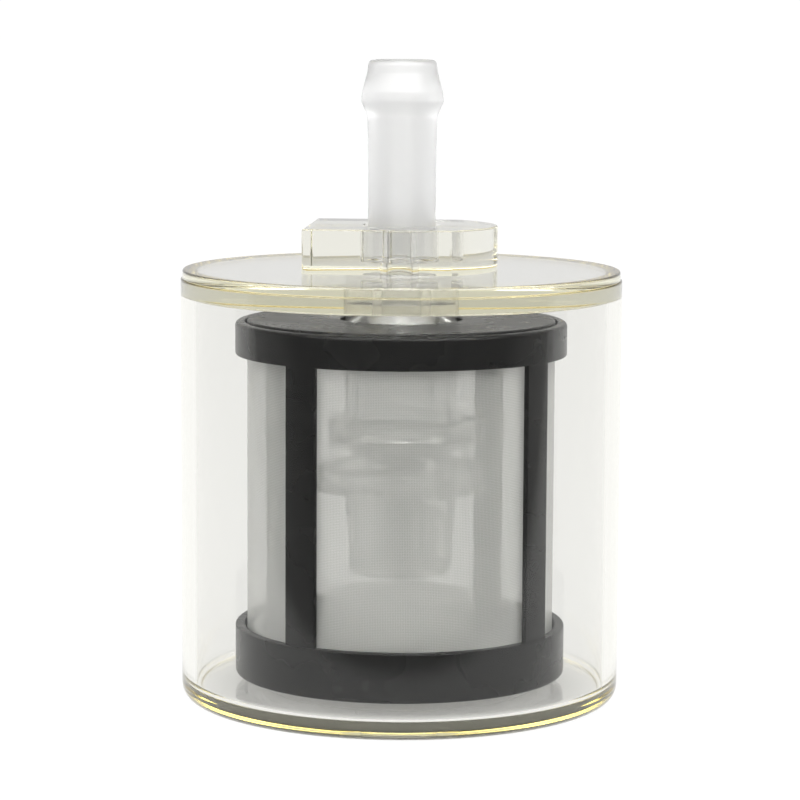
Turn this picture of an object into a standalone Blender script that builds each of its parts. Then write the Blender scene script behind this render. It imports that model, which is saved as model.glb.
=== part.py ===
"""In-line fuel filter with a clear bowl.

A clear cup is closed by a clear lid. The lid carries the hose nipple on a D-shaped boss. Fuel enters
by the nipple, runs down the standpipe, pushes the sprung poppet of the non-return valve down, and
leaves through the slots of the valve cage into the filter element. It passes the screen outwards and
leaves through the threaded bush in the middle of the cup's floor.

Frame: metres, +Z up, origin in the middle of the cup's underside. -Y is the front.
"""
import math

import bmesh
import bpy
from mathutils import Matrix, Vector

MM = 0.001

# Driving dimensions, in millimetres.
CUP_R = 26.0            # outer radius of the cup
CUP_WALL = 1.7
FLOOR = 2.0             # thickness of the cup's floor
SEAM_Z = 49.77          # where the lid's flange meets the cup's rim
LID_TOP = 50.9
BOSS_TOP = 56.1
TIP_Z = 75.4            # top of the hose nipple
GAP = 0.3               # clearance between pieces that touch

# Cup and lid.
CUP_INNER = CUP_R - CUP_WALL
CORNER_R = 1.9          # rounding of the cup's bottom edge
BUSH_R = 6.9            # outside of the outlet bush
BUSH_BORE = 4.4
BUSH_TOP = 9.6
FLANGE_R = 25.8
SPIGOT_R = CUP_INNER - GAP
SPIGOT_Z = 47.7         # underside of the lid's spigot
BOSS_R = 11.3           # round end of the boss
BOSS_HALF = 9.36        # half the width between its flats
BOSS_LEFT = 10.9        # distance of its flat end from the axis
BOSS_TURN = -4.0        # degrees about +Z

# Hose nipple, for a hose of 8 mm bore.
PLUG_R = 4.6            # part of the nipple that is fixed in the boss
PLUG_Z = (52.0, 55.7)
HOSE_R = 3.97
NIPPLE_BORE = 2.1
BEAD_R = 4.8
BEAD_Z = 70.95

# Standpipe, under the lid.
PIPE_SPIGOT_R = 4.3
PIPE_SPIGOT_TOP = 50.6
COLLAR_R = 6.6
COLLAR_TOP = SPIGOT_Z - GAP
COLLAR_Z = 33.5
SEAT_FLANGE_R = 8.6
SEAT_Z = 31.3           # underside of the valve seat
SEAT_BORE = 4.4
FEED_BORE = 2.3

# Non-return valve.
VALVE_TRAVEL = 2.5
SLOT_INNER = 7.0
SLOT_RING_Z = (30.2, SEAT_Z - GAP)
BAND_R = 9.8
BAND_Z = (25.9, 27.7)
SLOT_POSTS = 6
SLOT_POST_TURN = -114.0  # degrees from +X of the first post
GUIDE_FLANGE_R = 10.1
GUIDE_FLANGE_Z = (24.9, 25.6)
GUIDE_R = 6.55
GUIDE_LOWER_R = 6.2
GUIDE_STEP_Z = 21.5
GUIDE_BOTTOM = 14.7
GUIDE_BORE = 4.6
GUIDE_FLOOR = 16.2
STEM_R = 1.5
STEM_BOTTOM = 15.6
DISC_R = 6.0
DISC_Z = (29.0, 30.2)
SEAL_Z = (30.5, 31.0)
SPRING_R = 2.9          # middle of the coil
SPRING_WIRE = 0.6
SPRING_TURNS = 8

# Filter element.
RING_R = 19.6
RING_INNER = 18.5
BOTTOM_RING_Z = (3.07, 8.87)
TOP_RING_Z = (41.05, 44.9)
SHOULDER = 1.1          # rounding of the rings' outer end edges
RIB_R = 19.25
RIB_INNER = 18.62
RIB_DEGREES = 12.3
RIBS = 4
RIB_TURN = -126.0       # degrees from +X of the first rib
MESH_R = 18.2
MESH_INNER = 17.75
CAP_R = RING_INNER - GAP
SKIRT_R = MESH_INNER - GAP
SKIRT_INNER = 16.5
TOP_CAP_Z = (43.9, 45.1)
BOTTOM_CAP_Z = (3.07, 4.3)
SEAL_POCKET_R = 8.6     # pocket under the top cap that holds the collar's seal
SEAL_POCKET_WALL = 1.0
SEAL_POCKET_Z = 41.9
SEAL_LIP_R = 7.2
SEAL_MAJOR = 7.6
SEAL_MINOR = 0.7
HUB_R = 9.4
HUB_INNER = 8.1
HUB_TOP = 12.0
HUB_CEILING = 10.6
STANDOFFS = 3

FINE = 64               # facets round the large pieces
COARSE = 40             # facets round the small ones


def clear_scene():
    for obj in list(bpy.data.objects):
        bpy.data.objects.remove(obj, do_unlink=True)


def material(name, color, roughness, metallic=0.0, transmission=0.0):
    mat = bpy.data.materials.new(name)
    mat.use_nodes = True
    shader = mat.node_tree.nodes["Principled BSDF"]
    shader.inputs["Base Color"].default_value = (*color, 1.0)
    shader.inputs["Roughness"].default_value = roughness
    shader.inputs["Metallic"].default_value = metallic
    shader.inputs["Transmission Weight"].default_value = transmission
    return mat


def clear_plastic(name):
    return material(name, (0.93, 0.92, 0.80), 0.05, transmission=0.9)


def black_plastic(name):
    return material(name, (0.02, 0.02, 0.022), 0.35)


def pale_plastic(name):
    return material(name, (0.80, 0.81, 0.78), 0.25, transmission=0.4)


def rubber(name):
    return material(name, (0.03, 0.03, 0.03), 0.6)


def arc(center_r, center_z, radius, start, end, steps):
    """Points of an arc in the (radius, height) plane, angles in degrees from outwards to upwards."""
    points = []
    for i in range(steps + 1):
        angle = math.radians(start + (end - start) * i / steps)
        points.append((center_r + radius * math.cos(angle), center_z + radius * math.sin(angle)))
    return points


def mesh_object(name, bm, mat=None):
    bmesh.ops.recalc_face_normals(bm, faces=bm.faces[:])
    mesh = bpy.data.meshes.new(name)
    bm.to_mesh(mesh)
    bm.free()
    mesh.shade_smooth()
    mesh.set_sharp_from_angle(angle=math.radians(30))
    obj = bpy.data.objects.new(name, mesh)
    bpy.context.scene.collection.objects.link(obj)
    if mat is not None:
        mesh.materials.append(mat)
    return obj


def turned_bmesh(profile, facets, closed):
    """Spin a profile of (radius, height) points in millimetres about Z."""
    bm = bmesh.new()
    verts = [bm.verts.new((r * MM, 0.0, z * MM)) for r, z in profile]
    edges = [bm.edges.new(pair) for pair in zip(verts, verts[1:])]
    if closed:
        edges.append(bm.edges.new((verts[-1], verts[0])))
    bmesh.ops.spin(bm, geom=verts + edges, axis=(0, 0, 1), cent=(0, 0, 0),
                   angle=math.tau, steps=facets, use_merge=True)
    bmesh.ops.remove_doubles(bm, verts=bm.verts[:], dist=1e-6)
    return bm


def ring(name, profile, mat=None, facets=FINE):
    """Turned piece with a hole through it: the profile is a closed outline."""
    return mesh_object(name, turned_bmesh(profile, facets, closed=True), mat)


def turned(name, profile, mat=None, facets=FINE):
    """Turned piece without a hole: the profile starts and ends on the axis."""
    return mesh_object(name, turned_bmesh(profile, facets, closed=False), mat)


def prism(name, outline, z_range, mat=None):
    """Upright piece with a flat outline of (x, y) points in millimetres."""
    bm = bmesh.new()
    low, high = z_range
    face = bm.faces.new([bm.verts.new((x * MM, y * MM, low * MM)) for x, y in outline])
    grown = bmesh.ops.extrude_face_region(bm, geom=[face])
    top = [item for item in grown["geom"] if isinstance(item, bmesh.types.BMVert)]
    bmesh.ops.translate(bm, verts=top, vec=Vector((0, 0, (high - low) * MM)))
    return mesh_object(name, bm, mat)


def sector(name, inner, outer, middle, degrees, z_range, steps):
    """Upright block between two radii, centred on an angle in degrees from +X."""
    outline = []
    for radius, sign in ((outer, 1), (inner, -1)):
        for i in range(steps + 1):
            angle = math.radians(middle + sign * degrees * (i / steps - 0.5))
            outline.append((radius * math.cos(angle), radius * math.sin(angle)))
    return prism(name, outline, z_range)


def apply_booleans(body, tools, operation):
    """Join the tools to the body, or cut them from it, and remove them."""
    for tool in tools:
        modifier = body.modifiers.new(tool.name, "BOOLEAN")
        modifier.operation = operation
        modifier.solver = "EXACT"
        modifier.object = tool
    depsgraph = bpy.context.evaluated_depsgraph_get()
    mesh = bpy.data.meshes.new_from_object(body.evaluated_get(depsgraph))
    body.modifiers.clear()
    body.data = mesh
    mesh.shade_smooth()
    mesh.set_sharp_from_angle(angle=math.radians(30))
    for tool in tools:
        bpy.data.objects.remove(tool, do_unlink=True)
    return body


def torus(name, major, minor, z, mat, facets=COARSE):
    return ring(name, arc(major, z, minor, 0, 360 - 360 / 8, 7), mat, facets)


def make_cup():
    rim = SEAM_Z - GAP / 2
    profile = [(BUSH_R + GAP, FLOOR), (BUSH_R + GAP, 0.0)]
    profile += arc(CUP_R - CORNER_R, CORNER_R, CORNER_R, -90, 0, 5)
    profile += [(CUP_R, rim), (CUP_INNER, rim)]
    profile += arc(CUP_INNER - 1.0, FLOOR + 1.0, 1.0, 0, -90, 3)
    return ring("cup", profile, clear_plastic("cup_plastic"))


def make_outlet_bush():
    edge = 0.3
    return ring("outlet_bush", [
        (BUSH_BORE, BUSH_TOP),
        (BUSH_BORE, edge),
        (BUSH_BORE + edge, 0.0),
        (BUSH_R - edge, 0.0),
        (BUSH_R, edge),
        (BUSH_R, BUSH_TOP - edge),
        (BUSH_R - edge, BUSH_TOP),
    ], clear_plastic("bush_plastic"), COARSE)


def boss_outline():
    """D shape: two flats and a flat end, closed by an arc about the axis."""
    turn = Matrix.Rotation(math.radians(BOSS_TURN), 2)
    reach = math.degrees(math.asin(BOSS_HALF / BOSS_R))
    steps = 12
    points = [Vector((-BOSS_LEFT, -BOSS_HALF))]
    for i in range(steps + 1):
        angle = math.radians(-reach + 2 * reach * i / steps)
        points.append(Vector((BOSS_R * math.cos(angle), BOSS_R * math.sin(angle))))
    points.append(Vector((-BOSS_LEFT, BOSS_HALF)))
    return [tuple(turn @ point) for point in points]


def make_lid():
    under_flange = SEAM_Z + GAP / 2
    edge = 0.25
    lid = turned("lid", [
        (0.0, LID_TOP),
        (FLANGE_R - edge, LID_TOP),
        (FLANGE_R, LID_TOP - edge),
        (FLANGE_R, under_flange),
        (SPIGOT_R, under_flange),
        (SPIGOT_R, SPIGOT_Z + edge),
        (SPIGOT_R - edge, SPIGOT_Z),
        (0.0, SPIGOT_Z),
    ], clear_plastic("lid_plastic"))
    boss = prism("boss", boss_outline(), (LID_TOP - 1.0, BOSS_TOP))
    apply_booleans(lid, [boss], "UNION")
    hole = turned("lid_hole", [
        (0.0, BOSS_TOP + 1.0),
        (PLUG_R + GAP, BOSS_TOP + 1.0),
        (PLUG_R + GAP, PLUG_Z[0] - GAP),
        (FEED_BORE, PLUG_Z[0] - GAP),
        (FEED_BORE, PIPE_SPIGOT_TOP + GAP),
        (PIPE_SPIGOT_R + GAP, PIPE_SPIGOT_TOP + GAP),
        (PIPE_SPIGOT_R + GAP, SPIGOT_Z - 1.0),
        (0.0, SPIGOT_Z - 1.0),
    ], facets=COARSE)
    return apply_booleans(lid, [hole], "DIFFERENCE")


def make_hose_nipple():
    low, high = PLUG_Z
    lip = 0.75
    profile = [(NIPPLE_BORE, TIP_Z - 0.3), (NIPPLE_BORE, low)]
    profile += [(PLUG_R - 0.3, low), (PLUG_R, low + 0.3), (PLUG_R, high), (HOSE_R, high)]
    profile += [(HOSE_R, 62.5), (HOSE_R + 0.15, 68.8)]
    profile += arc(BEAD_R - 1.6, BEAD_Z, 1.6, -50, 35, 6)
    profile += [(HOSE_R + 0.15, 73.9)]
    profile += arc(HOSE_R - lip + 0.05, TIP_Z - lip, lip, 0, 90, 4)
    profile += [(NIPPLE_BORE + 0.3, TIP_Z)]
    return ring("hose_nipple", profile, pale_plastic("nipple_plastic"), COARSE)


def make_standpipe():
    return ring("standpipe", [
        (FEED_BORE, PIPE_SPIGOT_TOP),
        (FEED_BORE, 46.4),
        (SEAT_BORE, 44.3),
        (SEAT_BORE, SEAT_Z + 1.0),
        (SEAT_BORE + 0.8, SEAT_Z),
        (SEAT_FLANGE_R, SEAT_Z),
        (SEAT_FLANGE_R, COLLAR_Z - 0.6),
        (SEAT_FLANGE_R - 0.6, COLLAR_Z),
        (COLLAR_R, COLLAR_Z),
        (COLLAR_R, COLLAR_TOP),
        (PIPE_SPIGOT_R, COLLAR_TOP),
        (PIPE_SPIGOT_R, PIPE_SPIGOT_TOP),
    ], pale_plastic("standpipe_plastic"), COARSE)


def make_valve_cage():
    upper = ring("valve_cage", [
        (SLOT_INNER, SLOT_RING_Z[1]),
        (SLOT_INNER, SLOT_RING_Z[0]),
        (SEAT_FLANGE_R, SLOT_RING_Z[0]),
        (SEAT_FLANGE_R, SLOT_RING_Z[1]),
    ], pale_plastic("valve_cage_plastic"), COARSE)
    band = ring("band", [
        (SLOT_INNER, BAND_Z[1]),
        (SLOT_INNER, BAND_Z[0]),
        (BAND_R, BAND_Z[0]),
        (BAND_R, BAND_Z[1] - 0.4),
        (BAND_R - 0.4, BAND_Z[1]),
    ], facets=COARSE)
    posts = []
    for i in range(SLOT_POSTS):
        angle = SLOT_POST_TURN + i * 360 / SLOT_POSTS
        span = (BAND_Z[0] + 0.5, SLOT_RING_Z[1] - 0.3)
        posts.append(sector(f"post_{i}", SLOT_INNER + 0.15, SEAT_FLANGE_R - 0.2, angle, 9.0, span, 1))
    return apply_booleans(upper, [band] + posts, "UNION")


def make_guide_cup():
    profile = [(GUIDE_BORE, GUIDE_FLANGE_Z[1]), (GUIDE_BORE, GUIDE_FLOOR)]
    profile += [(STEM_R + GAP, GUIDE_FLOOR), (STEM_R + GAP, GUIDE_BOTTOM)]
    profile += arc(GUIDE_LOWER_R - 1.6, GUIDE_BOTTOM + 1.6, 1.6, -90, 0, 4)
    profile += [(GUIDE_LOWER_R, GUIDE_STEP_Z), (GUIDE_R, GUIDE_STEP_Z + 0.35)]
    profile += [(GUIDE_R, GUIDE_FLANGE_Z[0]), (GUIDE_FLANGE_R, GUIDE_FLANGE_Z[0])]
    profile += [(GUIDE_FLANGE_R, GUIDE_FLANGE_Z[1])]
    return ring("guide_cup", profile, pale_plastic("guide_cup_plastic"), COARSE)


def make_valve_poppet():
    """Disc with a stem below and a mushroom above that holds the washer; slides down to open."""
    nose = 2.9
    return turned("valve_poppet", [
        (0.0, 33.2),
        (1.6, 33.0),
        (3.5, 31.9),
        (3.5, 31.4),
        (nose, 31.3),
        (nose, DISC_Z[1]),
        (DISC_R, DISC_Z[1]),
        (DISC_R, DISC_Z[0] + 0.4),
        (DISC_R - 0.4, DISC_Z[0]),
        (STEM_R, DISC_Z[0]),
        (STEM_R, STEM_BOTTOM + 0.4),
        (STEM_R - 0.4, STEM_BOTTOM),
        (0.0, STEM_BOTTOM),
    ], material("poppet_plastic", (0.25, 0.26, 0.26), 0.4), 32)


def make_poppet_seal():
    return ring("poppet_seal", [
        (3.2, SEAL_Z[1]),
        (3.2, SEAL_Z[0]),
        (DISC_R - 0.1, SEAL_Z[0]),
        (DISC_R - 0.1, SEAL_Z[1]),
    ], rubber("poppet_seal_rubber"), 32)


def spring_point(t, bottom, top):
    """Point of the coil at t from 0 to 1, with one close turn at each end."""
    close = 1.25 * SPRING_WIRE / (top - bottom)
    turns = t * SPRING_TURNS
    if turns < 1.0:
        height = close * turns
    elif turns > SPRING_TURNS - 1.0:
        height = 1.0 - close * (SPRING_TURNS - turns)
    else:
        height = close + (1.0 - 2.0 * close) * (turns - 1.0) / (SPRING_TURNS - 2.0)
    angle = math.tau * turns
    return Vector((SPRING_R * math.cos(angle), SPRING_R * math.sin(angle), bottom + (top - bottom) * height))


def make_valve_spring():
    bottom = GUIDE_FLOOR + GAP + SPRING_WIRE / 2
    top = DISC_Z[0] - GAP - SPRING_WIRE / 2
    count = SPRING_TURNS * 14
    curve = bpy.data.curves.new("valve_spring", "CURVE")
    curve.dimensions = "3D"
    curve.bevel_depth = SPRING_WIRE / 2 * MM
    curve.bevel_resolution = 1
    curve.use_fill_caps = True
    curve.render_resolution_u = 0
    spline = curve.splines.new("POLY")
    spline.points.add(count)
    for i in range(count + 1):
        spline.points[i].co = (*(spring_point(i / count, bottom, top) * MM), 1.0)
    curve.materials.append(material("spring_steel", (0.6, 0.6, 0.6), 0.3, metallic=1.0))
    obj = bpy.data.objects.new("valve_spring", curve)
    bpy.context.scene.collection.objects.link(obj)
    return obj


def make_cage_frame():
    bottom, under = BOTTOM_RING_Z
    low, top = TOP_RING_Z
    frame = ring("cage_frame", [
        (RING_INNER, top), (RING_INNER, low), (RING_R, low),
    ] + arc(RING_R - SHOULDER + 0.1, top - SHOULDER, SHOULDER - 0.1, 0, 80, 4), black_plastic("cage_plastic"))
    lower_ring = ring("lower_ring", [
        (RING_INNER, under), (RING_INNER, bottom),
    ] + arc(RING_R - 0.8, bottom + 0.8, 0.8, -80, 0, 4) + [(RING_R, under)])
    ribs = []
    for i in range(RIBS):
        angle = RIB_TURN + i * 360 / RIBS
        span = (under - 1.5, low + 1.5)
        ribs.append(sector(f"rib_{i}", RIB_INNER, RIB_R, angle, RIB_DEGREES, span, 3))
    return apply_booleans(frame, [lower_ring] + ribs, "UNION")


def make_cage_top_cap():
    low, top = TOP_CAP_Z
    skirt_z = 41.5
    wall_r = SEAL_POCKET_R + SEAL_POCKET_WALL
    return ring("cage_top_cap", [
        (SEAL_LIP_R, top),
        (SEAL_LIP_R, low + 0.2),
        (SEAL_POCKET_R, low + 0.2),
        (SEAL_POCKET_R, SEAL_POCKET_Z),
        (wall_r, SEAL_POCKET_Z),
        (wall_r, low),
        (SKIRT_INNER, low),
        (SKIRT_INNER, skirt_z),
        (SKIRT_R, skirt_z),
        (SKIRT_R, low + 0.15),
        (CAP_R, low + 0.15),
        (CAP_R, top - 0.3),
        (CAP_R - 0.3, top),
    ], black_plastic("top_cap_plastic"))


def make_cage_bottom_cap():
    low, top = BOTTOM_CAP_Z
    cap = ring("cage_bottom_cap", [
        (HUB_INNER, low),
        (CAP_R, low),
        (CAP_R, top),
        (SKIRT_R, top),
        (SKIRT_R, 8.5),
        (SKIRT_INNER, 8.5),
        (SKIRT_INNER, top),
        (HUB_R, top),
        (HUB_R, HUB_TOP - 0.8),
        (HUB_R - 0.8, HUB_TOP),
        (HUB_INNER, HUB_TOP),
    ], black_plastic("bottom_cap_plastic"))
    roof = turned("hub_roof", [
        (0.0, HUB_TOP - 0.1),
        (HUB_INNER + 0.5, HUB_TOP - 0.1),
        (HUB_INNER + 0.5, HUB_CEILING),
        (0.0, HUB_CEILING),
    ])
    stands = []
    for i in range(STANDOFFS):
        angle = 90 + i * 360 / STANDOFFS
        span = (BUSH_TOP + GAP, HUB_CEILING + 0.5)
        stands.append(sector(f"stand_{i}", BUSH_BORE + 0.6, BUSH_R - 0.2, angle, 14, span, 1))
    return apply_booleans(cap, [roof] + stands, "UNION")


def make_mesh_sleeve():
    low = BOTTOM_CAP_Z[1] + GAP
    high = TOP_CAP_Z[0] - GAP
    return ring("mesh_sleeve", [
        (MESH_INNER, high),
        (MESH_INNER, low),
        (MESH_R, low),
        (MESH_R, high),
    ], material("screen", (0.75, 0.76, 0.74), 0.6))


def add_valve_axis(pieces):
    """Empty on the valve's axis at the seat that carries the pieces which slide."""
    axis = bpy.data.objects.new("valve_axis", None)
    axis.location = (0.0, 0.0, SEAT_Z * MM)
    bpy.context.scene.collection.objects.link(axis)
    for piece in pieces:
        piece.parent = axis
        piece.matrix_parent_inverse = Matrix.Translation((0.0, 0.0, -SEAT_Z * MM))


def build():
    clear_scene()
    make_cup()
    make_outlet_bush()
    make_lid()
    make_hose_nipple()
    make_standpipe()
    make_valve_cage()
    make_guide_cup()
    sliding = [make_valve_poppet(), make_poppet_seal()]
    make_valve_spring()
    make_cage_frame()
    make_cage_top_cap()
    make_cage_bottom_cap()
    seal_z = TOP_CAP_Z[0] + 0.2 - GAP - SEAL_MINOR
    torus("cage_collar_seal", SEAL_MAJOR, SEAL_MINOR, seal_z, rubber("collar_seal_rubber"))
    make_mesh_sleeve()
    add_valve_axis(sliding)


build()
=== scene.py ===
"""Looks of the fuel filter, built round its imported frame.

Every piece is turned or extruded again with fine facets and rounded edges, in the place that its
CAD node holds, and gets a procedural material. Sizes are in millimetres unless a comment says
otherwise, and heights are measured from the underside of the cup.
"""
import math

import bmesh
import bpy
from mathutils import Matrix, Vector


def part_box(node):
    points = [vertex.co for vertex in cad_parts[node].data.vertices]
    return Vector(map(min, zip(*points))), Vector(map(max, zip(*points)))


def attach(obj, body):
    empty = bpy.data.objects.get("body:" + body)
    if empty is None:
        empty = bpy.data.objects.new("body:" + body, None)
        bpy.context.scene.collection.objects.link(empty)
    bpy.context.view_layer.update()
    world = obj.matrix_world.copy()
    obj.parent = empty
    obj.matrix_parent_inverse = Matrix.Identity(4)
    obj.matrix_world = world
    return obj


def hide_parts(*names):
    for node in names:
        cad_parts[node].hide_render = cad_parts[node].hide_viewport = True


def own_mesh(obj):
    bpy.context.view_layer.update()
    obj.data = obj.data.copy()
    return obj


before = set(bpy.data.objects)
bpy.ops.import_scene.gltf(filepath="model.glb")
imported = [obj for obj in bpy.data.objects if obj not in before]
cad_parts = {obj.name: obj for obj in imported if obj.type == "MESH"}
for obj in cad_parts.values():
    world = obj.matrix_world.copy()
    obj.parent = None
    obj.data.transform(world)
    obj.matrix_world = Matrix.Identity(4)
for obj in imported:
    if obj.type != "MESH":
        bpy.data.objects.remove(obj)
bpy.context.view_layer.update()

MM = 0.001
FINE = 192              # facets round the large pieces
COARSE = 96             # facets round the small ones
SHARP = math.radians(40)  # a steeper edge between two faces stays sharp

# Optics of the clear plastic.
CLEAR_IOR = 1.58
CUP_TINT = (0.996, 0.984, 0.88)
LID_TINT = (0.998, 0.993, 0.945)
TINT_DENSITY = 100.0
CUP_CLARITY = 0.89      # how much light a face of the cup lets through
LID_CLARITY = 0.96      # the same for the lid's disc and spigot
BOSS_CLARITY = 0.84     # the same for the boss
BOSS_BLEND = 0.4        # height over which the disc's clarity changes to the boss's
MIRROR = 0.4            # how strongly the clear plastic mirrors, beside its bare index
GLUE_TINT = (0.90, 0.80, 0.52)
GLUE_HALF = 0.12        # half the height of the glued seam
MATT_R = 16.3           # the cup's underside is matt within this radius
MATT_HEIGHT = 0.1       # and below this height
MATT_ROUGHNESS = 0.9

# Optics of the other plastics.
NATURAL_COLOR = (0.94, 0.94, 0.935)
NATURAL_TINT = (0.97, 0.972, 0.965)
NATURAL_IOR = 1.52
BLACK_TONES = ((0.0050, 0.0050, 0.0048), (0.0065, 0.0065, 0.0063))

# The studio.
WORLD_LEVEL = 1.04
WORLD_FRONT = 0.50          # how bright the room is in front, beside the sides
WORLD_WALL = 0.73           # how bright the wall just above the table is, beside the rest
FRONT_EDGE = (-0.05, 0.20)  # where the front begins and is full, as the cosine from -Y
FRONT_TOP = (0.20, 0.45)    # between these heights of view, as a sine, the dim front ends
WALL_LOW = (0.01, 0.05)     # and between these the wall begins
WALL_HIGH = (0.30, 0.50)    # and ends
FLOOR_ALBEDO = 0.04
FLOOR_GLOW = 0.97
FLOOR_FRONT = 0.26          # painted shade: how bright the table is in front, beside the rest of it
FLOOR_EDGE = (-0.0515, -0.0680)  # y in metres where the painted shade in front begins and is full
SHADE = 0.45                # painted shadow: how bright the table is under the object
SHADE_REACH = (0.013, 0.025)  # distances in metres between which that painted shadow ends

# The camera.
CAMERA_LENS = 136.1
CAMERA_AT = (-0.0001, -0.3556, 0.0814)  # in metres
CAMERA_DOWN = 7.39      # degrees below level
CAMERA_ROLL = 0.31      # degrees

# The screen's weave.
SCREEN_THREADS = 620     # round the sleeve
SCREEN_PITCH = 0.000184  # up the sleeve, in metres
SCREEN_EDGE = 0.60       # how far a thread reaches from its middle, as the cosine of its phase
SCREEN_SOFT = 0.25       # how softly it ends there, in the same measure
SCREEN_COVER = (0.31, 0.42)  # how opaque a hole and a thread are
SCREEN_GLOW = 0.36       # share of a thread's light that passes through it
SCREEN_COLOR = (0.98, 0.985, 0.97)


def edge(node, axis, high):
    """One side of a CAD node's box, in millimetres."""
    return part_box(node)[1 if high else 0][axis] / MM


def radius(node):
    return edge(node, 0, True)


def low(node):
    return edge(node, 2, False)


def high(node):
    return edge(node, 2, True)


# Driving dimensions, from the frame where it holds them.
GAP = 0.3               # between the cup's rim and the lid's disc in CAD
BOND = 0.03             # how far bonded pieces reach into each other, so that no air shows
CUP_R = radius("cup")
CUP_RIM = high("cup")
CUP_WALL = 1.7
FLOOR = 2.0
SEAM_Z = CUP_RIM + GAP / 2
FLANGE_R = radius("lid")
SPIGOT_Z = low("lid")
BOSS_TOP = high("lid")
LID_TOP = SEAM_Z + 1.13
LID_BORE = 2.3          # the lid's narrow hole, which is the standpipe's bore too
PLUG_R = 4.6            # the nipple's foot in the boss
PLUG_TOP = 55.7
NIPPLE_FREE = 55.8      # the nipple stands free above this height
TIP_Z = high("hose_nipple")
NIPPLE_LOW = low("hose_nipple")
PIPE_PLUG_R = 4.3       # the standpipe's head in the lid's spigot
PIPE_TOP = 50.6
MESH_R = radius("mesh_sleeve")
RING_R = radius("cage_frame")
CAP_R = radius("cage_top_cap")
LIP_INNER = 16.5        # the lip that each cap has inside the screen
LIP_OUTER = 17.45
SPRING_R = radius("valve_spring") - 0.3
SPRING_WIRE = 0.6
SPRING_TURNS = 8
BUSH_BORE = 4.4


# ---------------------------------------------------------------------------------------------
# Mesh tools

def rounded(corners, closed):
    """Outline through (radius, height, fillet) corners, each fillet a curve near such an arc.

    A fillet is cut back so that it never takes half of the side beside it.
    """
    nearly_straight = math.radians(176)
    largest_share = 0.49
    degrees_a_step = 15
    count = len(corners)
    points = []
    for i, (r, z, fillet) in enumerate(corners):
        here = Vector((r, z))
        inner = closed or 0 < i < count - 1
        if fillet <= 0 or not inner:
            points.append(here)
            continue
        before = Vector(corners[i - 1][:2]) - here
        after = Vector(corners[(i + 1) % count][:2]) - here
        angle = before.angle(after)
        if angle > nearly_straight:
            points.append(here)
            continue
        side = min(before.length, after.length)
        reach = min(fillet / math.tan(angle / 2), largest_share * side)
        start = here + before.normalized() * reach
        end = here + after.normalized() * reach
        steps = max(2, math.ceil(math.degrees(math.pi - angle) / degrees_a_step))
        for k in range(steps + 1):
            t = k / steps
            bulge = start.lerp(here, t).lerp(here.lerp(end, t), t)
            points.append(bulge)
    return points


def smooth(mesh):
    mesh.shade_smooth()
    mesh.set_sharp_from_angle(angle=SHARP)


def finished(name, bm):
    """Object from a bmesh, with its normals outwards and its soft edges smooth."""
    bmesh.ops.recalc_face_normals(bm, faces=bm.faces[:])
    mesh = bpy.data.meshes.new(name)
    bm.to_mesh(mesh)
    bm.free()
    smooth(mesh)
    obj = bpy.data.objects.new(name, mesh)
    bpy.context.scene.collection.objects.link(obj)
    return obj


def spun(profile, facets, closed):
    """Outline of (radius, height) points turned about the Z axis."""
    merge = 0.0002 * MM     # points nearer than this are one
    bm = bmesh.new()
    verts = [bm.verts.new((r * MM, 0.0, z * MM)) for r, z in profile]
    edges = [bm.edges.new(pair) for pair in zip(verts, verts[1:])]
    if closed:
        edges.append(bm.edges.new((verts[-1], verts[0])))
    bmesh.ops.spin(bm, geom=verts + edges, axis=(0, 0, 1), cent=(0, 0, 0),
                   angle=math.tau, steps=facets, use_merge=True)
    bmesh.ops.remove_doubles(bm, verts=bm.verts[:], dist=merge)
    return bm


def ring(name, corners, facets=FINE):
    """Turned piece with a hole through it."""
    return finished(name, spun(rounded(corners, True), facets, True))


def turned(name, corners, facets=FINE):
    """Turned piece without a hole: the outline starts and ends on the axis."""
    return finished(name, spun(rounded(corners, False), facets, False))


def prism(name, outline, z_low, z_high, bevel=0.0):
    """Upright piece with a flat outline of (x, y) points, its long edges rounded off."""
    bm = bmesh.new()
    face = bm.faces.new([bm.verts.new((x * MM, y * MM, z_low * MM)) for x, y in outline])
    grown = bmesh.ops.extrude_face_region(bm, geom=[face])
    top = [item for item in grown["geom"] if isinstance(item, bmesh.types.BMVert)]
    bmesh.ops.translate(bm, verts=top, vec=Vector((0, 0, (z_high - z_low) * MM)))
    if bevel > 0:
        bmesh.ops.recalc_face_normals(bm, faces=bm.faces[:])
        steep = math.radians(30)
        hard = [item for item in bm.edges if item.calc_face_angle(0) > steep]
        bmesh.ops.bevel(bm, geom=hard, offset=bevel * MM, segments=4, profile=0.5,
                        affect="EDGES")
    return finished(name, bm)


def sector(name, inner, outer, middle, degrees, z_low, z_high, bevel, steps=12):
    """Upright bar between two radii, centred on an angle in degrees from +X."""
    outline = []
    for r, sign in ((outer, 1), (inner, -1)):
        for i in range(steps + 1):
            angle = math.radians(middle + sign * degrees * (i / steps - 0.5))
            outline.append((r * math.cos(angle), r * math.sin(angle)))
    return prism(name, outline, z_low, z_high, bevel)


def combine(body, tools, operation):
    """Joins the tools to the body or cuts them out of it, and removes them."""
    for tool in tools:
        modifier = body.modifiers.new(tool.name, "BOOLEAN")
        modifier.operation = operation
        modifier.solver = "EXACT"
        modifier.object = tool
    depsgraph = bpy.context.evaluated_depsgraph_get()
    mesh = bpy.data.meshes.new_from_object(body.evaluated_get(depsgraph))
    body.modifiers.clear()
    body.data = mesh
    smooth(mesh)
    for tool in tools:
        bpy.data.objects.remove(tool, do_unlink=True)


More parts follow.
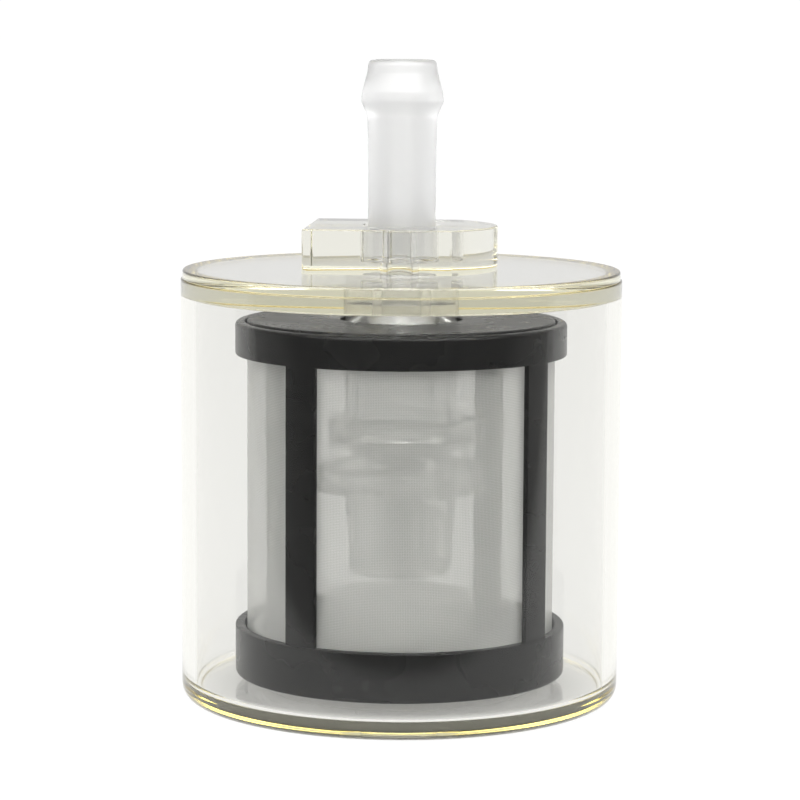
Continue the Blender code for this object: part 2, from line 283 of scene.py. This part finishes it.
def oring(name, node):
    """O-ring that fills its CAD node's box."""
    minor = (high(node) - low(node)) / 2
    major = radius(node) - minor
    middle = (high(node) + low(node)) / 2
    steps = 20
    corners = []
    for i in range(steps):
        angle = math.tau * i / steps
        corners.append((major + minor * math.cos(angle), middle + minor * math.sin(angle), 0))
    return ring(name, corners, COARSE)


def place(piece, node, body, mat):
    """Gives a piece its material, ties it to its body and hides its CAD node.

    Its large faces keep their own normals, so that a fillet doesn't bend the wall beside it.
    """
    normals = piece.modifiers.new("normals", "WEIGHTED_NORMAL")
    normals.keep_sharp = True
    piece.data.materials.clear()
    piece.data.materials.append(mat)
    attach(piece, body)
    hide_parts(node)


# ---------------------------------------------------------------------------------------------
# Materials

def new_material(name):
    mat = bpy.data.materials.new(name)
    mat.use_nodes = True
    tree = mat.node_tree
    shader = tree.nodes["Principled BSDF"]
    return mat, tree, shader


def object_coords(tree):
    return tree.nodes.new("ShaderNodeTexCoord").outputs["Object"]


def separated(tree, vector):
    """Node with the X, Y and Z of a vector."""
    split = tree.nodes.new("ShaderNodeSeparateXYZ")
    tree.links.new(vector, split.inputs["Vector"])
    return split


def noise(tree, scale, detail=3.0):
    node = tree.nodes.new("ShaderNodeTexNoise")
    node.inputs["Scale"].default_value = scale
    node.inputs["Detail"].default_value = detail
    tree.links.new(object_coords(tree), node.inputs["Vector"])
    return node.outputs["Fac"]


def math_node(tree, operation, a, b=None):
    """One sum on sockets or numbers."""
    node = tree.nodes.new("ShaderNodeMath")
    node.operation = operation
    for socket, value in zip(node.inputs, (a, b)):
        if value is None:
            continue
        if isinstance(value, (int, float)):
            socket.default_value = value
        else:
            tree.links.new(value, socket)
    return node.outputs["Value"]


def from_axis(tree, split):
    """Distance from the Z axis."""
    x = split.outputs["X"]
    y = split.outputs["Y"]
    x_square = math_node(tree, "MULTIPLY", x, x)
    y_square = math_node(tree, "MULTIPLY", y, y)
    return math_node(tree, "SQRT", math_node(tree, "ADD", x_square, y_square))


def ranged(tree, value, low_out, high_out, low_in=0.3, high_in=0.7, blend="LINEAR"):
    """Value carried from one range to another, and held at its ends."""
    node = tree.nodes.new("ShaderNodeMapRange")
    node.interpolation_type = blend
    node.inputs["From Min"].default_value = low_in
    node.inputs["From Max"].default_value = high_in
    node.inputs["To Min"].default_value = low_out
    node.inputs["To Max"].default_value = high_out
    tree.links.new(value, node.inputs["Value"])
    return node.outputs["Result"]


def smooth_step(tree, value, low_in, high_in, low_out=0.0, high_out=1.0):
    return ranged(tree, value, low_out, high_out, low_in, high_in, "SMOOTHSTEP")


def bumped(tree, shader, height, strength, distance):
    node = tree.nodes.new("ShaderNodeBump")
    node.inputs["Strength"].default_value = strength
    node.inputs["Distance"].default_value = distance
    tree.links.new(height, node.inputs["Height"])
    tree.links.new(node.outputs["Normal"], shader.inputs["Normal"])


def absorbing(tree, color, density):
    volume = tree.nodes.new("ShaderNodeVolumeAbsorption")
    volume.inputs["Color"].default_value = (*color, 1.0)
    volume.inputs["Density"].default_value = density
    tree.links.new(volume.outputs["Volume"], tree.nodes["Material Output"].inputs["Volume"])


def clear_plastic(name, tint, clarity, boss_clarity):
    """Polished clear plastic: colourless where thin, yellow along its thick sections.

    The glued seam is amber, the boss has a clarity of its own, and the middle of the underside
    is matt.
    """
    mat, tree, shader = new_material(name)
    split = separated(tree, object_coords(tree))
    height = split.outputs["Z"]
    away = math_node(tree, "ABSOLUTE", math_node(tree, "SUBTRACT", height, SEAM_Z * MM))
    mix = tree.nodes.new("ShaderNodeMix")
    mix.data_type = "RGBA"
    tone = tree.nodes.new("ShaderNodeCombineColor")
    blend_top = LID_TOP + BOSS_BLEND
    grey = ranged(tree, height, clarity, boss_clarity, LID_TOP * MM, blend_top * MM)
    for channel in ("Red", "Green", "Blue"):
        tree.links.new(grey, tone.inputs[channel])
    tree.links.new(tone.outputs["Color"], mix.inputs["A"])
    mix.inputs["B"].default_value = (*GLUE_TINT, 1.0)
    tree.links.new(math_node(tree, "LESS_THAN", away, GLUE_HALF * MM), mix.inputs["Factor"])
    tree.links.new(mix.outputs["Result"], shader.inputs["Base Color"])
    shader.inputs["Specular Tint"].default_value = (MIRROR, MIRROR, MIRROR, 1.0)
    shader.inputs["Transmission Weight"].default_value = 1.0
    shader.inputs["IOR"].default_value = CLEAR_IOR
    middle = math_node(tree, "LESS_THAN", from_axis(tree, split), MATT_R * MM)
    under = math_node(tree, "LESS_THAN", height, MATT_HEIGHT * MM)
    matt = math_node(tree, "MULTIPLY", middle, under)
    roughness = math_node(tree, "MULTIPLY", matt, MATT_ROUGHNESS)
    tree.links.new(roughness, shader.inputs["Roughness"])
    absorbing(tree, tint, TINT_DENSITY)
    return mat


def natural_plastic(name, clarity, density, roughness, bonded_below=0.0):
    """Hazy natural plastic, smooth below the height where it is bonded in."""
    mat, tree, shader = new_material(name)
    shader.inputs["Base Color"].default_value = (*NATURAL_COLOR, 1.0)
    shader.inputs["Transmission Weight"].default_value = clarity
    shader.inputs["IOR"].default_value = NATURAL_IOR
    height = separated(tree, object_coords(tree)).outputs["Z"]
    free = math_node(tree, "GREATER_THAN", height, bonded_below * MM)
    uneven = ranged(tree, noise(tree, 260.0), roughness * 0.8, roughness * 1.3)
    haze = math_node(tree, "MULTIPLY", uneven, free)
    tree.links.new(haze, shader.inputs["Roughness"])
    bumped(tree, shader, noise(tree, 140.0, 2.0), 0.08, 0.0002)
    absorbing(tree, NATURAL_TINT, density)
    return mat


def black_plastic():
    """Satin black moulding, a little uneven in tone and gloss."""
    mat, tree, shader = new_material("black_plastic")
    tone = noise(tree, 150.0, 2.0)
    mix = tree.nodes.new("ShaderNodeMix")
    mix.data_type = "RGBA"
    mix.inputs["A"].default_value = (*BLACK_TONES[0], 1.0)
    mix.inputs["B"].default_value = (*BLACK_TONES[1], 1.0)
    tree.links.new(tone, mix.inputs["Factor"])
    tree.links.new(mix.outputs["Result"], shader.inputs["Base Color"])
    tree.links.new(ranged(tree, tone, 0.24, 0.30), shader.inputs["Roughness"])
    shader.inputs["Specular IOR Level"].default_value = 0.2
    return mat


def rubber():
    """Black rubber with a fine grain."""
    mat, tree, shader = new_material("rubber")
    shader.inputs["Base Color"].default_value = (0.018, 0.018, 0.019, 1.0)
    shader.inputs["Specular IOR Level"].default_value = 0.35
    tree.links.new(ranged(tree, noise(tree, 900.0), 0.42, 0.62), shader.inputs["Roughness"])
    bumped(tree, shader, noise(tree, 2500.0), 0.15, 0.00004)
    return mat


def grey_plastic():
    """Dull grey moulding."""
    mat, tree, shader = new_material("poppet_plastic")
    shader.inputs["Base Color"].default_value = (0.25, 0.25, 0.25, 1.0)
    tree.links.new(ranged(tree, noise(tree, 700.0), 0.35, 0.5), shader.inputs["Roughness"])
    bumped(tree, shader, noise(tree, 2600.0), 0.1, 0.00004)
    return mat


def spring_steel():
    """Drawn steel wire with a fine, uneven surface."""
    mat, tree, shader = new_material("spring_steel")
    shader.inputs["Base Color"].default_value = (0.56, 0.56, 0.57, 1.0)
    shader.inputs["Metallic"].default_value = 1.0
    tree.links.new(ranged(tree, noise(tree, 1800.0), 0.2, 0.38), shader.inputs["Roughness"])
    bumped(tree, shader, noise(tree, 5000.0), 0.1, 0.00002)
    return mat


def screen():
    """Plain weave of pale threads: threads and holes follow the angle and the height."""
    mat, tree, shader = new_material("screen")
    split = separated(tree, object_coords(tree))
    angle = math_node(tree, "ARCTAN2", split.outputs["Y"], split.outputs["X"])
    around = math_node(tree, "MULTIPLY", angle, MESH_R * MM)
    around_pitch = math.tau * MESH_R * MM / SCREEN_THREADS
    weave = []
    for along, pitch in ((around, around_pitch), (split.outputs["Z"], SCREEN_PITCH)):
        wave = math_node(tree, "COSINE", math_node(tree, "MULTIPLY", along, math.tau / pitch))
        weave.append(wave)
    strongest = math_node(tree, "MAXIMUM", weave[0], weave[1])
    thread_ends = (SCREEN_EDGE - SCREEN_SOFT, SCREEN_EDGE + SCREEN_SOFT)
    opaque = ranged(tree, strongest, *SCREEN_COVER, *thread_ends)
    thread = tree.nodes.new("ShaderNodeBsdfDiffuse")
    thread.inputs["Color"].default_value = (*SCREEN_COLOR, 1.0)
    glow = tree.nodes.new("ShaderNodeBsdfTranslucent")
    glow.inputs["Color"].default_value = (*SCREEN_COLOR, 1.0)
    body = tree.nodes.new("ShaderNodeMixShader")
    body.inputs["Fac"].default_value = SCREEN_GLOW
    tree.links.new(thread.outputs["BSDF"], body.inputs[1])
    tree.links.new(glow.outputs["BSDF"], body.inputs[2])
    hole = tree.nodes.new("ShaderNodeBsdfTransparent")
    mixed = tree.nodes.new("ShaderNodeMixShader")
    tree.links.new(opaque, mixed.inputs["Fac"])
    tree.links.new(hole.outputs["BSDF"], mixed.inputs[1])
    tree.links.new(body.outputs["Shader"], mixed.inputs[2])
    tree.links.new(mixed.outputs["Shader"], tree.nodes["Material Output"].inputs["Surface"])
    tree.nodes.remove(shader)
    return mat


CLEAR_CUP = clear_plastic("cup_plastic", CUP_TINT, CUP_CLARITY, CUP_CLARITY)
CLEAR_LID = clear_plastic("lid_plastic", LID_TINT, LID_CLARITY, BOSS_CLARITY)
NIPPLE = natural_plastic("nipple_plastic", clarity=0.98, density=10.0, roughness=0.35,
                         bonded_below=NIPPLE_FREE)
NATURAL = natural_plastic("natural_plastic", clarity=0.85, density=160.0, roughness=0.12)
BLACK = black_plastic()
RUBBER = rubber()
GREY = grey_plastic()
STEEL = spring_steel()
SCREEN = screen()


# ---------------------------------------------------------------------------------------------
# Housing

def make_cup():
    """Housing with a closed floor, whose hole is the bush's bore, and a rim in the glued seam."""
    inner = CUP_R - CUP_WALL
    lip = 0.01              # the hole is this much narrower, so that the bush's wall can't show
    hole = BUSH_BORE - lip
    rim = SEAM_Z + BOND / 2
    cup = ring("cup_shell", [
        (hole, FLOOR, 0.1),
        (hole, 0.0, 0.1),
        (CUP_R, 0.0, 1.9),
        (CUP_R, rim, 0.12),
        (inner, rim, 0.12),
        (inner, FLOOR, 1.0),
    ])
    place(cup, "cup", "housing", CLEAR_CUP)


def make_outlet_bush():
    """Tube above the cup's floor; the floor shows the part of the bush that stands in it."""
    outer = radius("outlet_bush")
    top = high("outlet_bush")
    foot = FLOOR - BOND
    bush = ring("outlet_bush_body", [
        (BUSH_BORE, top, 0.2),
        (BUSH_BORE, foot, 0),
        (outer, foot, 0),
        (outer, top, 0.3),
    ], COARSE)
    place(bush, "outlet_bush", "housing", CLEAR_CUP)


def boss_outline():
    """D shape: two flats and a flat end, closed by an arc about the axis."""
    arc_r = 11.3
    half = 9.36
    left = 10.9
    turned_by = -4.0
    steps = 40
    turn = Matrix.Rotation(math.radians(turned_by), 2)
    reach = math.degrees(math.asin(half / arc_r))
    points = [Vector((-left, -half))]
    for i in range(steps + 1):
        angle = math.radians(-reach + 2 * reach * i / steps)
        points.append(Vector((arc_r * math.cos(angle), arc_r * math.sin(angle))))
    points.append(Vector((-left, half)))
    return [tuple(turn @ point) for point in points]


def make_lid():
    """Disc with a spigot below and a boss above, and a stepped hole down its middle."""
    spigot_r = CUP_R - CUP_WALL + BOND
    under = SEAM_Z - BOND / 2
    beyond = 1.0            # how far the boss starts within the disc and the hole's tool sticks out
    wide = PLUG_R - BOND
    wide_end = NIPPLE_LOW + BOND
    low_wide = PIPE_PLUG_R - BOND
    low_wide_end = PIPE_TOP - BOND
    lid = turned("lid_body", [
        (0.0, LID_TOP, 0),
        (FLANGE_R, LID_TOP, 0.3),
        (FLANGE_R, under, 0.15),
        (spigot_r, under, 0.1),
        (spigot_r, SPIGOT_Z, 0.3),
        (0.0, SPIGOT_Z, 0),
    ])
    boss = prism("boss", boss_outline(), LID_TOP - beyond, BOSS_TOP, 0.2)
    combine(lid, [boss], "UNION")
    hole = turned("lid_hole", [
        (0.0, BOSS_TOP + beyond, 0),
        (wide, BOSS_TOP + beyond, 0),
        (wide, wide_end, 0),
        (LID_BORE, wide_end, 0),
        (LID_BORE, low_wide_end, 0),
        (low_wide, low_wide_end, 0),
        (low_wide, SPIGOT_Z - beyond, 0),
        (0.0, SPIGOT_Z - beyond, 0),
    ], COARSE)
    combine(lid, [hole], "DIFFERENCE")
    place(lid, "lid", "housing", CLEAR_LID)


def make_nipple():
    """Straight tube with one rounded bead below its tip, on a foot that stands in the boss."""
    tube = 3.97
    bore = 2.1
    nipple = ring("nipple_tube", [
        (bore, TIP_Z, 0.3),
        (bore, NIPPLE_LOW, 0),
        (PLUG_R, NIPPLE_LOW, 0.3),
        (PLUG_R, PLUG_TOP, 0.15),
        (tube, PLUG_TOP, 0.15),
        (tube, 62.5, 3.0),
        (tube + 0.15, 68.9, 0.8),
        (4.86, 70.6, 0.8),
        (4.72, 71.7, 0.8),
        (tube + 0.15, 73.9, 1.5),
        (tube - 0.02, TIP_Z, 0.75),
    ], COARSE)
    place(nipple, "hose_nipple", "housing", NIPPLE)


def make_standpipe():
    """Stepped pipe from the lid's spigot down to the valve's seat."""
    pipe = ring("standpipe_tube", [
        (LID_BORE, PIPE_TOP, 0.2),
        (LID_BORE, 46.4, 0.3),
        (4.4, 44.3, 0.3),
        (4.4, 32.3, 0.1),
        (5.2, 31.3, 0.1),
        (8.6, 31.3, 0.2),
        (8.6, 33.5, 0.6),
        (6.6, 33.5, 0.4),
        (6.6, 47.4, 0.3),
        (PIPE_PLUG_R, 47.4, 0.2),
        (PIPE_PLUG_R, PIPE_TOP, 0.2),
    ], COARSE)
    place(pipe, "standpipe", "housing", NATURAL)


def make_valve_cage():
    """Slotted ring: an upper ring and a wider band joined by six posts."""
    inner = 7.0
    outer = 8.6
    band_outer = 9.8
    upper = ring("valve_cage_ring", [
        (inner, 31.0, 0.1),
        (inner, 30.2, 0.1),
        (outer, 30.2, 0.15),
        (outer, 31.0, 0.15),
    ], COARSE)
    band = ring("band", [
        (inner, 27.7, 0.15),
        (inner, 25.9, 0.15),
        (band_outer, 25.9, 0.2),
        (band_outer, 27.7, 0.4),
    ], COARSE)
    posts = []
    for i in range(6):
        post = sector(f"post_{i}", 7.15, 8.4, middle=-114 + 60 * i, degrees=9.0,
                      z_low=26.4, z_high=30.6, bevel=0.15, steps=4)
        posts.append(post)
    combine(upper, [band] + posts, "UNION")
    place(upper, "valve_cage", "housing", NATURAL)


def make_guide_cup():
    """Round-bottomed cup that guides the poppet's stem and holds the spring."""
    cup = ring("guide_cup_shell", [
        (4.6, 25.6, 0.15),
        (4.6, 16.2, 0.8),
        (1.8, 16.2, 0.2),
        (1.8, 14.7, 0.2),
        (6.2, 14.7, 1.6),
        (6.2, 21.5, 0.2),
        (6.55, 21.85, 0.2),
        (6.55, 24.9, 0.3),
        (10.1, 24.9, 0.2),
        (10.1, 25.6, 0.2),
    ], COARSE)
    place(cup, "guide_cup", "housing", NATURAL)


def make_poppet():
    """Disc and stem of the valve, and the rubber washer on the disc."""
    poppet = turned("poppet_body", [
        (0.0, 33.2, 0),
        (1.6, 33.0, 0.3),
        (3.5, 31.9, 0.2),
        (3.5, 31.4, 0.1),
        (2.9, 31.3, 0.05),
        (2.9, 30.2, 0.1),
        (6.0, 30.2, 0.15),
        (6.0, 29.0, 0.4),
        (1.5, 29.0, 0.3),
        (1.5, 15.6, 0.4),
        (0.0, 15.6, 0),
    ], COARSE)
    place(poppet, "valve_poppet", "poppet", GREY)
    fillet = 0.08
    washer = ring("poppet_washer", [
        (3.2, 31.0, fillet),
        (3.2, 30.5, fillet),
        (5.9, 30.5, fillet),
        (5.9, 31.0, fillet),
    ], COARSE)
    place(washer, "poppet_seal", "poppet", RUBBER)


def make_collar_seal():
    seal = oring("collar_seal", "cage_collar_seal")
    place(seal, "cage_collar_seal", "housing", RUBBER)


def coil_point(t, bottom, top):
    """Point of the coil at t from 0 to 1, with one close turn at each end."""
    close_pitch = 1.25 * SPRING_WIRE
    close = close_pitch / (top - bottom)
    turns = t * SPRING_TURNS
    if turns < 1.0:
        height = close * turns
    elif turns > SPRING_TURNS - 1.0:
        height = 1.0 - close * (SPRING_TURNS - turns)
    else:
        height = close + (1.0 - 2.0 * close) * (turns - 1.0) / (SPRING_TURNS - 2.0)
    angle = math.tau * turns
    x = SPRING_R * math.cos(angle)
    y = SPRING_R * math.sin(angle)
    return Vector((x, y, bottom + (top - bottom) * height))


def make_spring():
    """Wound wire with a close turn at each end, on a mesh of its own."""
    bottom = low("valve_spring")
    top = high("valve_spring")
    half_wire = SPRING_WIRE / 2
    span = (bottom + half_wire, top - half_wire)
    steps_a_turn = 48
    sides = 14
    count = SPRING_TURNS * steps_a_turn
    points = [coil_point(i / count, *span) for i in range(count + 1)]
    bm = bmesh.new()
    loops = []
    for i, point in enumerate(points):
        along = (points[min(i + 1, count)] - points[max(i - 1, 0)]).normalized()
        outward = Vector((point.x, point.y, 0)).normalized()
        across = along.cross(outward)
        loop = []
        for k in range(sides):
            angle = math.tau * k / sides
            offset = (outward * math.cos(angle) + across * math.sin(angle)) * half_wire
            loop.append(bm.verts.new((point + offset) * MM))
        loops.append(loop)
    for before, after in zip(loops, loops[1:]):
        for k in range(sides):
            following = (k + 1) % sides
            bm.faces.new((before[k], before[following], after[following], after[k]))
    bm.faces.new(loops[0])
    bm.faces.new(loops[-1])
    spring = finished("spring_wire", bm)
    place(spring, "valve_spring", "housing", STEEL)
    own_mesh(spring)


# ---------------------------------------------------------------------------------------------
# Filter element

def make_cage():
    """Two rings joined by four upright ribs."""
    inner = 18.5
    foot = low("cage_frame")
    upper_low = 41.05
    upper_high = 44.9
    lower_high = 8.87
    frame_ring = ring("cage_body", [
        (inner, upper_high, 0.1),
        (inner, upper_low, 0.1),
        (RING_R, upper_low, 0.2),
        (RING_R, upper_high, 1.0),
    ])
    lower = ring("cage_lower", [
        (inner, lower_high, 0.1),
        (inner, foot, 0.1),
        (RING_R, foot, 0.8),
        (RING_R, lower_high, 0.2),
    ])
    ribs = []
    for i in range(4):
        rib = sector(f"rib_{i}", 18.62, 19.25, middle=-126 + 90 * i, degrees=12.3,
                     z_low=7.4, z_high=42.5, bevel=0.12)
        ribs.append(rib)
    combine(frame_ring, [lower] + ribs, "UNION")
    place(frame_ring, "cage_frame", "housing", BLACK)


def make_top_cap():
    """Plate with a hole for the standpipe, a collar round it and a lip inside the screen."""
    top = high("cage_top_cap")
    under = top - 1.1
    step = under + 0.1
    collar_low = 41.9
    lip_low = 41.5
    cap = ring("top_cap_plate", [
        (7.2, top, 0.3),
        (7.2, step, 0.1),
        (8.6, step, 0.1),
        (8.6, collar_low, 0.15),
        (9.6, collar_low, 0.15),
        (9.6, under, 0.3),
        (LIP_INNER, under, 0.3),
        (LIP_INNER, lip_low, 0.2),
        (LIP_OUTER, lip_low, 0.2),
        (LIP_OUTER, under, 0),
        (CAP_R, under, 0.1),
        (CAP_R, top, 0.3),
    ])
    place(cap, "cage_top_cap", "housing", BLACK)


def make_bottom_cap():
    """Plate with a lip inside the screen and a closed hub that stands on the bush by three feet."""
    foot = 3.07
    top = 4.3
    lip_top = 8.5
    hub_inner = 8.1
    hub_outer = 9.4
    hub_top = 12.0
    cap = ring("bottom_cap_plate", [
        (hub_inner, foot, 0.15),
        (CAP_R, foot, 0.2),
        (CAP_R, top, 0.1),
        (LIP_OUTER, top, 0),
        (LIP_OUTER, lip_top, 0.2),
        (LIP_INNER, lip_top, 0.2),
        (LIP_INNER, top, 0.4),
        (hub_outer, top, 0.4),
        (hub_outer, hub_top, 0.8),
        (hub_inner, hub_top, 0),
    ])
    roof_r = 8.6
    roof_low = 10.6
    roof_top = 11.95
    roof = turned("hub_roof", [
        (0.0, roof_top, 0),
        (roof_r, roof_top, 0),
        (roof_r, roof_low, 0),
        (0.0, roof_low, 0),
    ])
    stands = []
    for i in range(3):
        stand = sector(f"stand_{i}", 5.0, 6.7, middle=90 + 120 * i, degrees=14.0,
                       z_low=9.9, z_high=11.1, bevel=0.1, steps=3)
        stands.append(stand)
    combine(cap, [roof] + stands, "UNION")
    place(cap, "cage_bottom_cap", "housing", NATURAL)


def make_screen():
    """Thin sleeve, whose weave is in its material."""
    thickness = 0.12
    inner = MESH_R - thickness
    bottom = low("mesh_sleeve")
    top = high("mesh_sleeve")
    sleeve = ring("screen_sleeve", [
        (inner, top, 0),
        (inner, bottom, 0),
        (MESH_R, bottom, 0),
        (MESH_R, top, 0),
    ])
    place(sleeve, "mesh_sleeve", "housing", SCREEN)


# ---------------------------------------------------------------------------------------------
# Camera, lights and floor

def make_camera():
    camera = bpy.data.cameras.new("camera")
    camera.lens = CAMERA_LENS
    camera.clip_start = 0.01
    obj = bpy.data.objects.new("camera", camera)
    obj.location = CAMERA_AT
    tilt = Matrix.Rotation(math.radians(90 - CAMERA_DOWN), 4, "X")
    roll = Matrix.Rotation(math.radians(CAMERA_ROLL), 4, "Z")
    obj.rotation_euler = (tilt @ roll).to_euler()
    bpy.context.scene.collection.objects.link(obj)
    bpy.context.scene.camera = obj


def area_light(name, location, target, size, power):
    """White rectangle of light, its places and size in metres and its power in watts."""
    light = bpy.data.lights.new(name, "AREA")
    light.shape = "RECTANGLE"
    light.size, light.size_y = size
    light.energy = power
    obj = bpy.data.objects.new(name, light)
    obj.location = location
    direction = Vector(target) - Vector(location)
    obj.rotation_euler = direction.to_track_quat("-Z", "Y").to_euler()
    bpy.context.scene.collection.objects.link(obj)


def frontness(tree, split):
    """1 towards -Y, falling to 0 at the sides and behind."""
    begin, full = FRONT_EDGE
    cosine = math_node(tree, "DIVIDE", split.outputs["Y"], from_axis(tree, split))
    return smooth_step(tree, cosine, -full, -begin, 1.0, 0.0)


def make_floor():
    """Pale, evenly glowing table, with a painted shadow under the object and painted shade in front
    of it.
    """
    drop = 0.05 * MM        # below the cup's underside
    bm = bmesh.new()
    bmesh.ops.create_grid(bm, x_segments=1, y_segments=1, size=10.0)
    bmesh.ops.translate(bm, verts=bm.verts[:], vec=(0, 0, -drop))
    floor = finished("floor", bm)
    mat, tree, shader = new_material("floor")
    split = separated(tree, object_coords(tree))
    # painted shade: the table's glow and colour fall in front of the object
    near, far = FLOOR_EDGE
    beyond = smooth_step(tree, split.outputs["Y"], far, near, 1.0, 0.0)
    dark = math_node(tree, "MULTIPLY", beyond, frontness(tree, split))
    level = ranged(tree, dark, 1.0, FLOOR_FRONT, 0.0, 1.0)
    # painted shadow: the table's glow and colour fall off under the object
    reach = tree.nodes.new("ShaderNodeVectorMath")
    reach.operation = "LENGTH"
    tree.links.new(object_coords(tree), reach.inputs[0])
    shade = smooth_step(tree, reach.outputs["Value"], *SHADE_REACH, SHADE, 1.0)
    level = math_node(tree, "MULTIPLY", level, shade)
    tint = tree.nodes.new("ShaderNodeCombineXYZ")
    for axis in ("X", "Y", "Z"):
        tree.links.new(math_node(tree, "MULTIPLY", level, FLOOR_ALBEDO), tint.inputs[axis])
    tree.links.new(tint.outputs["Vector"], shader.inputs["Base Color"])
    shader.inputs["Roughness"].default_value = 0.9
    shader.inputs["Specular IOR Level"].default_value = 0.0
    shader.inputs["Emission Color"].default_value = (1, 1, 1, 1)
    glow = math_node(tree, "MULTIPLY", level, FLOOR_GLOW)
    tree.links.new(glow, shader.inputs["Emission Strength"])
    floor.data.materials.append(mat)


def make_world():
    """Bright room, less so just above the table and in front of the object."""
    world = bpy.data.worlds.new("studio")
    bpy.context.scene.world = world
    world.use_nodes = True
    tree = world.node_tree
    background = tree.nodes["Background"]
    coords = tree.nodes.new("ShaderNodeTexCoord")
    split = separated(tree, coords.outputs["Generated"])
    height = split.outputs["Z"]
    below = smooth_step(tree, height, *FRONT_TOP, 1.0, 0.0)
    front = math_node(tree, "MULTIPLY", frontness(tree, split), below)
    rise = smooth_step(tree, height, *WALL_LOW)
    fall = smooth_step(tree, height, *WALL_HIGH, 1.0, 0.0)
    wall = math_node(tree, "MULTIPLY", rise, fall)
    front_level = ranged(tree, front, 1.0, WORLD_FRONT, 0.0, 1.0)
    wall_level = ranged(tree, wall, 1.0, WORLD_WALL, 0.0, 1.0)
    level = math_node(tree, "MULTIPLY", front_level, wall_level)
    strength = math_node(tree, "MULTIPLY", level, WORLD_LEVEL)
    background.inputs["Color"].default_value = (1.0, 1.0, 1.0, 1.0)
    tree.links.new(strength, background.inputs["Strength"])


def set_view():
    """Plain colours, and enough bounces for light to cross all the clear walls."""
    clear_bounces = 40
    scene = bpy.context.scene
    scene.view_settings.view_transform = "Standard"
    scene.cycles.max_bounces = clear_bounces
    scene.cycles.transmission_bounces = clear_bounces
    scene.cycles.transparent_max_bounces = clear_bounces
    scene.cycles.glossy_bounces = clear_bounces
    scene.cycles.diffuse_bounces = 6


make_camera()
make_world()
make_floor()
area_light("top_light", location=(0.0, 0.02, 0.5), target=(0, 0, 0), size=(0.15, 0.15), power=0.25)
area_light("key_light", location=(0.0, -0.36, 0.46), target=(0, 0, 0.04), size=(1.60, 0.55),
           power=15.0)
set_view()

make_cup()
make_outlet_bush()
make_lid()
make_nipple()
make_standpipe()
make_valve_cage()
make_guide_cup()
make_poppet()
make_collar_seal()
make_spring()
make_cage()
make_top_cap()
make_bottom_cap()
make_screen()
